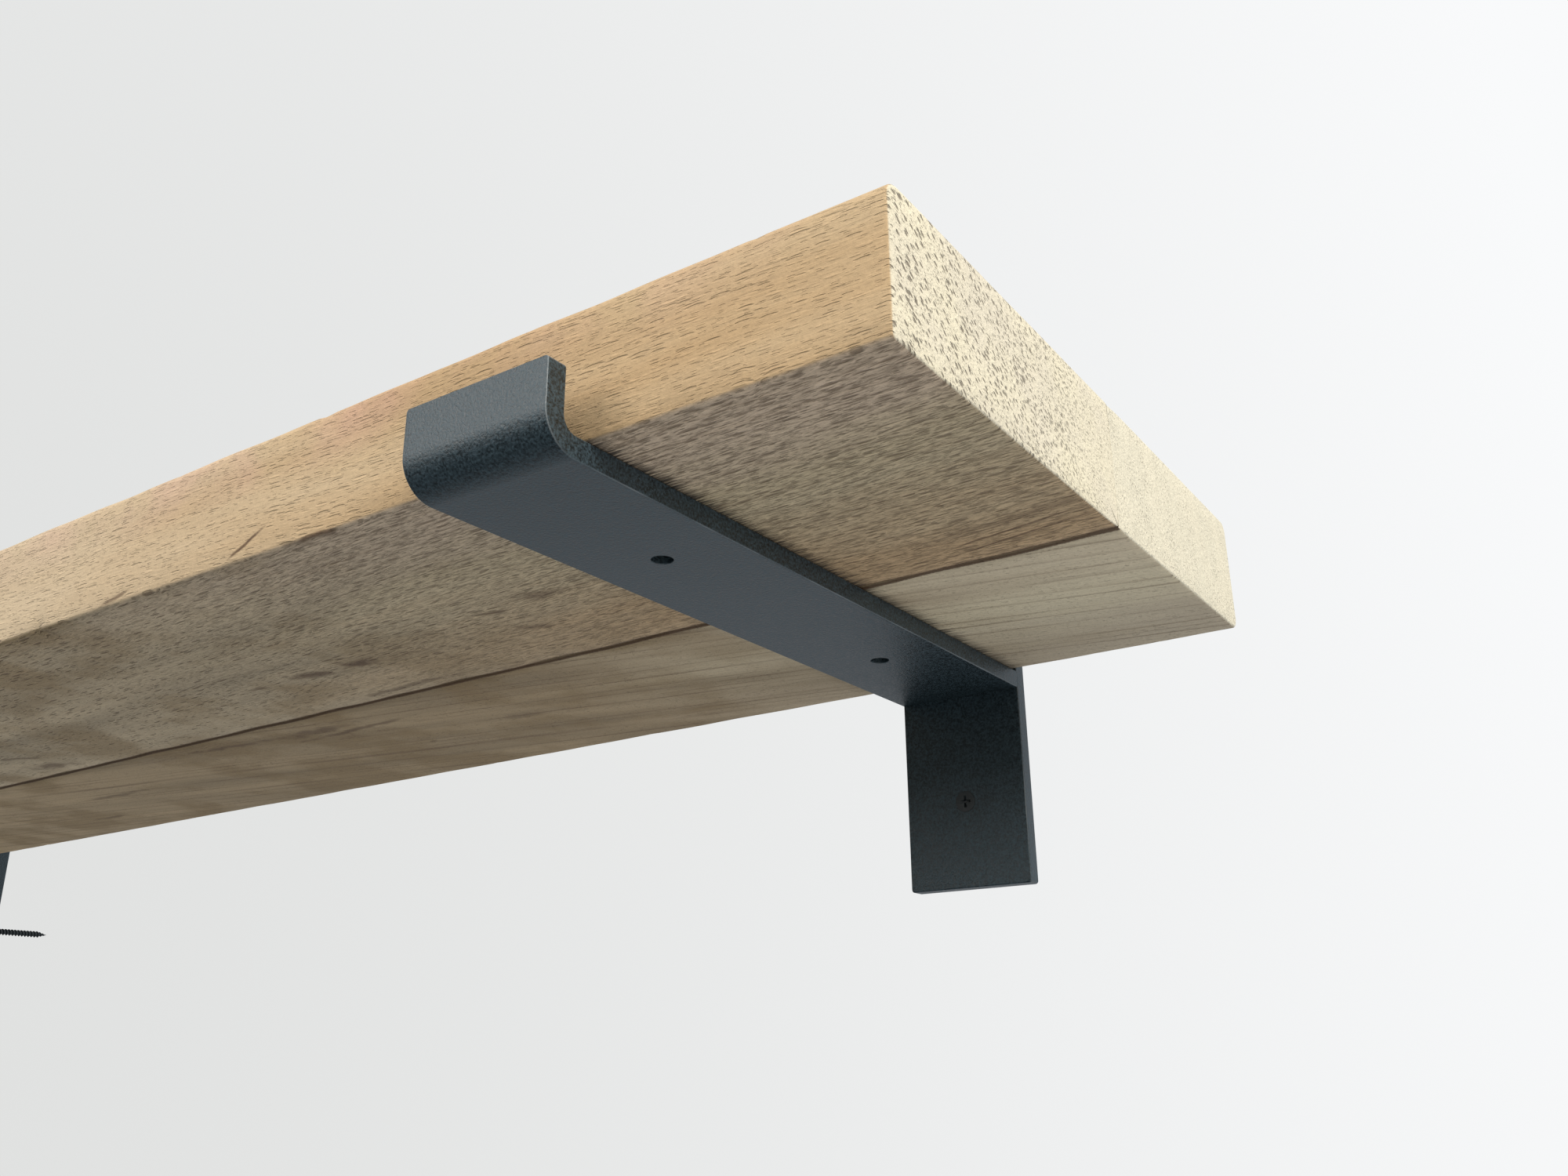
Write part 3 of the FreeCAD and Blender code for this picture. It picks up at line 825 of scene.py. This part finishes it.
def rounded_outline(bm, width, depth, corner):
    """The closed outline of a rectangle with rounded corners, on the XY plane round the origin."""
    size = Matrix.Diagonal((width, depth, 1.0, 1.0))
    verts = bmesh.ops.create_grid(bm, x_segments=1, y_segments=1, size=0.5, matrix=size)["verts"]
    face = verts[0].link_faces[0]
    if corner > 0:
        made = bmesh.ops.bevel(
            bm, geom=verts, offset=corner, segments=5, profile=0.5, affect="VERTICES", material=-1
        )
        face = made["verts"][0].link_faces[0]
    edges = list(face.edges)
    bmesh.ops.delete(bm, geom=[face], context="FACES_ONLY")
    return edges


def eased(arris, thickness):
    """How far the edge of a bar stands out at each depth, with both its arrises eased."""
    return (
        (-arris, 0.0),
        (-arris * 0.3, arris * 0.3),
        (0.0, arris),
        (0.0, thickness - arris),
        (-arris * 0.3, thickness - arris * 0.3),
        (-arris, thickness),
    )


def make_bar(bm, width, depth, thickness, corner, arris, holes):
    """A piece of flat bar on the XY plane, from z = 0 down to -thickness, with eased edges.

    Each hole is (centre, rings), and its rings are (radius, depth) from the top face down.
    """
    ease = eased(arris, thickness)
    start = ease[0][0]
    outline = rounded_outline(bm, width + 2 * start, depth + 2 * start, max(0.0, corner + start))
    loops = []
    steps = []
    for (grow, drop), (next_grow, next_drop) in zip(ease, ease[1:]):
        wider = (width + 2 * next_grow) / (width + 2 * grow)
        deeper = (depth + 2 * next_grow) / (depth + 2 * grow)
        down = Matrix.Translation((0, 0, drop - next_drop))
        steps.append(down @ Matrix.Diagonal((wider, deeper, 1.0, 1.0)))
    loops.append((outline, steps))
    for centre, rings in holes:
        at = Matrix.Translation((*centre, 0.0))
        made = bmesh.ops.create_circle(bm, cap_ends=False, radius=rings[0][0], segments=40, matrix=at)
        rim = list(dict.fromkeys(e for v in made["verts"] for e in v.link_edges))
        steps = []
        for (radius, drop), (next_radius, next_drop) in zip(rings, rings[1:]):
            factor = next_radius / radius
            down = Matrix.Translation((0, 0, drop - next_drop))
            steps.append(down @ scaled_about((*centre, 0.0), (factor, factor, 1.0)))
        loops.append((rim, steps))
    fill(bm, [e for loop, _ in loops for e in loop])
    last = []
    for loop, steps in loops:
        last += extend(bm, loop, steps)
    fill(bm, last)


class SHELF_OT_bracket_arms(bpy.types.Operator):
    """Makes each bracket's arm, a drilled flat bar bent up into a low lip at the front"""

    bl_idname = "shelf.bracket_arms"
    bl_label = "Bracket arms"

    def execute(self, context):
        shape = context.scene.shelf_brackets
        for side in SIDES:
            self.make(side, shape, bpy.data.materials["Powder-coated steel"])
        return {"FINISHED"}

    def make(self, side, shape, coat):
        """One arm, in place."""
        node = f"{side}_bracket_arm"
        low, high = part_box(node)
        bead_low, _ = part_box(f"{side}_weld_bead")
        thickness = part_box(f"{side}_weld_bead")[1].z - low.z
        width = high.x - low.x
        centre_x = (low.x + high.x) / 2
        bend_y = low.y + thickness + shape.bend
        spare = 10 * MM
        flat = high.y - bend_y + spare
        top = low.z + thickness
        middle_y = high.y - flat / 2
        bm = bmesh.new()
        rings = [(shape.hole - grow, drop) for grow, drop in eased(shape.arris * 0.6, thickness)]
        holes = [((0.0, -distance - middle_y), rings) for distance in (shape.hole_near, shape.hole_far)]
        make_bar(bm, width, flat, thickness, 0.0, shape.arris, holes)
        bmesh.ops.translate(bm, verts=bm.verts, vec=(centre_x, middle_y, top))
        cut(bm, (0, bend_y, 0), (0, 1, 0), clear_inner=True)
        steps = []
        pivot = Matrix.Translation((0, bend_y, top + shape.bend))
        bends = 16
        for _ in range(bends):
            steps.append(pivot @ Matrix.Rotation(math.radians(-90 / bends), 4, "X") @ pivot.inverted())
        # The lip rises straight, then narrows round its corners and over its eased top.
        lip_y = low.y + thickness / 2
        reached, half = top + shape.bend, width / 2
        rises = [(high.z - shape.corner, width / 2, 1.0)]
        corners = 6
        for i in range(1, corners + 1):
            angle = math.radians(90 * i / corners)
            rise = high.z - shape.corner + shape.corner * math.sin(angle)
            thin = 1.0
            if i == corners:
                thin = 1.0 - 2 * shape.arris / thickness
            elif i == corners - 1:
                thin = 1.0 - 0.6 * shape.arris / thickness
            rises.append((rise, width / 2 - shape.corner * (1 - math.cos(angle)), thin))
        thinned = 1.0
        for rise, next_half, thin in rises:
            at = (centre_x, lip_y, 0)
            step = scaled_about(at, (next_half / half, thin / thinned, 1.0))
            steps.append(Matrix.Translation((0, 0, rise - reached)) @ step)
            reached, half, thinned = rise, next_half, thin
        last = extend(bm, open_edges(bm), steps)
        fill(bm, last)
        # The rear top edge is bevelled for the weld.
        cut(bm, (0, bead_low.y, top), (0, 1, 1), clear_outer=True)
        fill(bm, open_edges(bm))
        weigh_normals(finish_piece(bm, f"{side}_arm_bar", coat, node, sharp=50))


class SHELF_OT_wall_plates(bpy.types.Operator):
    """Makes each bracket's wall plate, with two countersunk screw holes"""

    bl_idname = "shelf.wall_plates"
    bl_label = "Wall plates"

    def execute(self, context):
        shape = context.scene.shelf_brackets
        coat = bpy.data.materials["Powder-coated steel"]
        for side in SIDES:
            node = f"{side}_wall_plate"
            low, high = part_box(node)
            thickness = high.y - low.y
            middle = (low + high) / 2
            sink = shape.sink - shape.screw_hole
            rings = (
                (shape.sink, 0.0),
                (shape.screw_hole, sink),
                (shape.screw_hole, thickness - 0.2 * MM),
                (shape.screw_hole + 0.2 * MM, thickness),
            )
            holes = []
            for level in LEVELS:
                screw_low, screw_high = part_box(f"{side}_{level}_wall_screw")
                holes.append(((0.0, (screw_low.z + screw_high.z) / 2 - middle.z), rings))
            bm = bmesh.new()
            make_bar(bm, high.x - low.x, high.z - low.z, thickness, shape.plate_corner, shape.arris, holes)
            upright = Matrix.Translation((middle.x, low.y, middle.z)) @ QUARTER_TURN
            bmesh.ops.transform(bm, matrix=upright, verts=bm.verts)
            weigh_normals(finish_piece(bm, f"{side}_plate_bar", coat, node, sharp=50))
        return {"FINISHED"}


class SHELF_OT_weld_beads(bpy.types.Operator):
    """Makes the weld that joins each arm to its wall plate, with its ripples"""

    bl_idname = "shelf.weld_beads"
    bl_label = "Weld beads"

    def execute(self, context):
        coat = bpy.data.materials["Powder-coated steel"]
        for side in SIDES:
            node = f"{side}_weld_bead"
            low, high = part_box(node)
            bm = bmesh.new()
            corner = bm.verts.new((low.x, high.y, high.z))
            toe = bm.verts.new((low.x, low.y, high.z))
            root = bm.verts.new((low.x, high.y, low.z))
            loop = [bm.edges.new(pair) for pair in ((corner, toe), (toe, root), (root, corner))]
            bmesh.ops.subdivide_edges(bm, edges=[loop[0]], cuts=3)
            first = list(bm.edges)
            slices = 92
            last = extend(bm, first, [Matrix.Translation(((high.x - low.x) / slices, 0, 0))] * slices)
            fill(bm, first)
            fill(bm, last)
            ripple = 2.3 * MM
            for v in bm.verts:
                across = (v.co.y - low.y) / (high.y - low.y)
                if v.co.z > high.z - TINY and 0.05 < across < 0.95:
                    bow = 1.2 * MM * (across - 0.5) ** 2
                    crest = 0.5 + 0.5 * math.cos(math.tau * (v.co.x + bow * 900) / ripple)
                    v.co.z -= (0.1 + 0.35 * crest) * MM * math.sin(math.pi * across)
            finish_piece(bm, f"{side}_weld", coat, node, sharp=50)
        return {"FINISHED"}


# -------------------------------------------------------------------- screws


def make_black_steel(look):
    """Hardened steel, phosphated black and oiled: near black, a little glossy, with fine mottling."""
    material, add = new_material("Phosphated screw steel")
    place = add("TexCoord").outputs["Object"]
    mottle = add("TexNoise", place, Scale=1 / (0.7 * MM), Detail=3.0)
    colour = add("Mix RGBA", mottle, look.steel, linear("2E3437"))
    rough = add("MapRange", mottle, 0, 1, 0.32, 0.5)
    bump = add("Bump", Strength=0.3, Distance=0.05 * MM, Height=mottle)
    shader = add("BsdfPrincipled", Base_Color=colour, Roughness=rough, Metallic=0.2, Normal=bump)
    add("OutputMaterial", Surface=shader)
    return material


def cross_outline(bm, slot, span, matrix):
    """The outline of a cross recess: two bars across each other, as one loop of edges."""
    verts = bmesh.ops.create_grid(bm, x_segments=3, y_segments=3, size=span / 2)["verts"]
    third = span / 6
    for v in verts:
        for axis in (0, 1):
            if abs(v.co[axis]) < third * 1.1:
                v.co[axis] = math.copysign(slot / 2, v.co[axis])
    corners = [v for v in verts if abs(v.co.x) > third * 2 and abs(v.co.y) > third * 2]
    bmesh.ops.delete(bm, geom=corners, context="VERTS")
    rest = [v for v in verts if v.is_valid]
    faces = list(dict.fromkeys(f for v in rest for f in v.link_faces))
    edges = dict.fromkeys(e for f in faces for e in f.edges)
    loop = [e for e in edges if len(e.link_faces) == 1]
    inner = [e for e in edges if len(e.link_faces) == 2]
    bmesh.ops.delete(bm, geom=faces, context="FACES_ONLY")
    bmesh.ops.delete(bm, geom=inner, context="EDGES")
    bmesh.ops.transform(bm, matrix=matrix, verts=list(dict.fromkeys(v for e in loop for v in e.verts)))
    return loop


class SHELF_OT_wall_screws(bpy.types.Operator):
    """Makes the four countersunk wall screws with cut threads and cross recesses"""

    bl_idname = "shelf.wall_screws"
    bl_label = "Wall screws"

    def execute(self, context):
        shape = context.scene.shelf_screws
        steel = make_black_steel(shape)
        for side in SIDES:
            for level in LEVELS:
                self.make(f"{side}_{level}_wall_screw", shape, steel)
        return {"FINISHED"}

    def make(self, node, shape, steel):
        """One screw, along Y, with its head towards the room."""
        low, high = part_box(node)
        axis = Vector(((low.x + high.x) / 2, 0.0, (low.z + high.z) / 2))
        head = (high.x - low.x) / 2
        crest = 2.0 * MM
        cone_end = low.y + shape.rim + head - shape.neck
        turn_steps = 24
        start = cone_end - 2 * shape.pitch
        turns = math.ceil((high.y - start) / shape.pitch) - 1
        bm = bmesh.new()
        profile = ((0.0, shape.root), (0.42, shape.root), (0.66, crest), (0.76, crest), (1.0, shape.root))
        verts = [bm.verts.new(axis + Vector((r, start + f * shape.pitch, 0))) for f, r in profile]
        edges = [bm.edges.new(pair) for pair in zip(verts, verts[1:])]
        bmesh.ops.spin(
            bm, geom=[*verts, *edges], cent=axis, axis=(0, 1, 0), dvec=(0, shape.pitch / turn_steps, 0),
            angle=math.tau * turns, steps=turn_steps * turns, use_merge=False, use_duplicate=False,
        )
        bmesh.ops.remove_doubles(bm, verts=bm.verts, dist=TINY)
        taper = high.y - shape.point
        for v in bm.verts:
            spoke = Vector((v.co.x - axis.x, 0.0, v.co.z - axis.z))
            size = spoke.length
            if v.co.y < 0:
                blend = min(1.0, max(0.0, -v.co.y / (1.2 * MM)))
                size += (shape.neck - size) * blend
            elif v.co.y > taper:
                size *= max(0.02, 1.0 - (v.co.y - taper) / shape.point)
            spoke = spoke.normalized() * size
            v.co.x, v.co.z = axis.x + spoke.x, axis.z + spoke.z
        for place, outer in ((high.y - 0.05 * MM, True), (cone_end, False)):
            cut(bm, (0, place, 0), (0, 1, 0), clear_outer=outer, clear_inner=not outer)
        tip = [e for e in open_edges(bm) if e.verts[0].co.y > taper]
        fill(bm, tip)
        neck = open_edges(bm)
        middle = (axis.x, 0.0, axis.z)
        wide = head / shape.neck
        rim = extend(
            bm, neck,
            (
                Matrix.Translation((0, low.y + shape.rim - cone_end, 0))
                @ scaled_about(middle, (wide, 1, wide)),
                Matrix.Translation((0, 0.05 * MM - shape.rim, 0)),
                Matrix.Translation((0, -0.05 * MM, 0)) @ scaled_about(middle, (0.985, 1, 0.985)),
            ),
        )
        facing = Matrix.Translation((axis.x, low.y, axis.z)) @ QUARTER_TURN
        recess = cross_outline(bm, shape.slot, shape.span, facing)
        fill(bm, [*rim, *recess])
        deep = Matrix.Translation((0, shape.depth, 0)) @ scaled_about(middle, (0.5, 1, 0.5))
        floor = extend(bm, recess, [deep])
        fill(bm, floor)
        name = node.replace("_wall", "")
        weigh_normals(finish_piece(bm, name, steel, node, sharp=35))


# --------------------------------------------------------------------- stage


def make_floor_paint(look):
    """Matt emulsion on a smooth floor: pale, even and without gloss, with the faintest clouding."""
    material, add = new_material("Pale matt floor")
    place = add("TexCoord").outputs["Object"]
    cloud = add("TexNoise", place, Scale=1.5, Detail=2.0)
    shade = add("MapRange", cloud, 0, 1, 0.97, 1.03)
    colour = add("VectorMath SCALE", look.floor_tint, shade)
    shader = add("BsdfPrincipled", Base_Color=colour, Roughness=0.9, IOR=1.45)
    add("OutputMaterial", Surface=shader)
    return material


def make_world(look):
    """A soft room of light: bright behind the shelf and above, dim low in front.

    The camera sees an even near-white backdrop instead.
    """
    world = bpy.data.worlds.new("Soft studio")
    bpy.context.scene.world = world
    world.use_nodes = True
    world.node_tree.nodes.clear()
    add = partial(add_node, world.node_tree)
    way = add("TexCoord").outputs["Generated"]
    parts = add("SeparateXYZ", way)
    rear = add("MapRange SMOOTHSTEP", parts.outputs[1], -0.35, 0.45, 0.0, 1.0)
    high = add("MapRange SMOOTHSTEP", parts.outputs[2], -0.25, 0.35, 0.0, 1.0)
    bright = add("Math MAXIMUM", rear, high)
    right = add("MapRange", parts.outputs[0], -1.0, 1.0, 0.75, 1.25)
    glow = add("Mix RGBA", bright, linear("566269"), linear("DDE1E6"))
    glow = add("VectorMath SCALE", glow, right)
    lit = add("Background", Color=glow, Strength=0.8)
    toward = add("MapRange", parts.outputs[0], -0.9, 0.0)
    wall = add("Mix RGBA", toward, look.wall_dim, look.wall_glow)
    seen = add("Background", Color=wall, Strength=1.0)
    ray = add("LightPath")
    mixed = add("MixShader", ray.outputs["Is Camera Ray"], lit, seen)
    add("OutputWorld", Surface=mixed)


def add_area_light(name, place, target, side, power, colour):
    """A square soft light aimed at a point."""
    data = bpy.data.lights.new(name, "AREA")
    data.shape = "SQUARE"
    data.size = side
    data.energy = power
    data.color = colour
    light = bpy.data.objects.new(name, data)
    light.location = place
    light.rotation_euler = (Vector(target) - Vector(place)).to_track_quat("-Z", "Y").to_euler()
    bpy.context.scene.collection.objects.link(light)
    return light


class SHELF_OT_stage(bpy.types.Operator):
    """Makes the floor, the lights, the soft surroundings and the camera"""

    bl_idname = "shelf.stage"
    bl_label = "Stage"

    def execute(self, context):
        scene = context.scene
        look = scene.shelf_stage
        mesh = bpy.data.meshes.new("floor")
        bm = bmesh.new()
        bmesh.ops.create_grid(
            bm, x_segments=1, y_segments=1, size=look.floor_side / 2,
            matrix=Matrix.Translation((0, 0, -look.floor_drop)),
        )
        bm.to_mesh(mesh)
        bm.free()
        mesh.materials.append(make_floor_paint(look))
        floor = bpy.data.objects.new("floor", mesh)
        scene.collection.objects.link(floor)
        floor.visible_diffuse = False
        floor.visible_glossy = False
        floor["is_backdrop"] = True
        make_world(look)
        aim = (CAD_BOX[0] + CAD_BOX[1]) / 2
        add_area_light("Window", (3.0, -1.6, 2.3), aim, 2.2, 105.0, linear("FFF8EC"))
        add_area_light("Front fill", (-1.4, -2.8, 1.45), aim, 2.2, 62.0, linear("FBF7F2"))
        corner = Vector((CAD_BOX[1].x, aim.y, aim.z))
        add_area_light("Low right", (0.95, -0.5, -0.5), corner, 0.6, 1.5, linear("FFF6E8"))
        camera_data = bpy.data.cameras.new("Camera")
        camera_data.lens = look.lens
        camera_data.sensor_width = 36.0
        camera_data.clip_start = 0.01
        camera = bpy.data.objects.new("Camera", camera_data)
        scene.collection.objects.link(camera)
        rotation = (
            Matrix.Rotation(look.yaw, 4, "Z")
            @ Matrix.Rotation(math.radians(90) + look.pitch, 4, "X")
            @ Matrix.Rotation(look.roll, 4, "Z")
        )
        camera.matrix_world = Matrix.Translation(look.eye) @ rotation
        scene.camera = camera
        scene.view_settings.view_transform = "Standard"
        return {"FINISHED"}


# --------------------------------------------------------------------- panel


class SHELF_PT_sidebar(bpy.types.Panel):
    """Lists the steps that build the shelf."""

    bl_label = "Wall shelf"
    bl_space_type = "VIEW_3D"
    bl_region_type = "UI"
    bl_category = "Shelf"

    def draw(self, context):
        for operator in OPERATORS:
            self.layout.operator(operator.bl_idname)


GROUPS = {
    "shelf_front_look": FrontPlankLook,
    "shelf_rear_look": RearPlankLook,
    "shelf_planks": PlankShape,
    "shelf_brackets": BracketShape,
    "shelf_screws": ScrewShape,
    "shelf_stage": StageLook,
}
OPERATORS = (
    SHELF_OT_planks,
    SHELF_OT_glue_line,
    SHELF_OT_bracket_arms,
    SHELF_OT_wall_plates,
    SHELF_OT_weld_beads,
    SHELF_OT_wall_screws,
    SHELF_OT_stage,
)


def register():
    """Registers the classes and hangs the settings on the scene."""
    for cls in (*GROUPS.values(), *OPERATORS, SHELF_PT_sidebar):
        bpy.utils.register_class(cls)
    for name, group in GROUPS.items():
        setattr(bpy.types.Scene, name, bpy.props.PointerProperty(type=group))


def unregister():
    """Takes the settings and the classes away again."""
    for name in GROUPS:
        delattr(bpy.types.Scene, name)
    for cls in reversed((*GROUPS.values(), *OPERATORS, SHELF_PT_sidebar)):
        bpy.utils.unregister_class(cls)


def main():
    """Builds every piece and the stage."""
    register()
    make_powder_coat(bpy.context.scene.shelf_brackets)
    bpy.ops.shelf.planks()
    bpy.ops.shelf.glue_line()
    bpy.ops.shelf.bracket_arms()
    bpy.ops.shelf.wall_plates()
    bpy.ops.shelf.weld_beads()
    bpy.ops.shelf.wall_screws()
    bpy.ops.shelf.stage()
    boxes = {"cad": CAD_BOX, "visual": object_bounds()}
    boxes = {name: [list(corner) for corner in box] for name, box in boxes.items()}


if __name__ == "__main__":
    main()
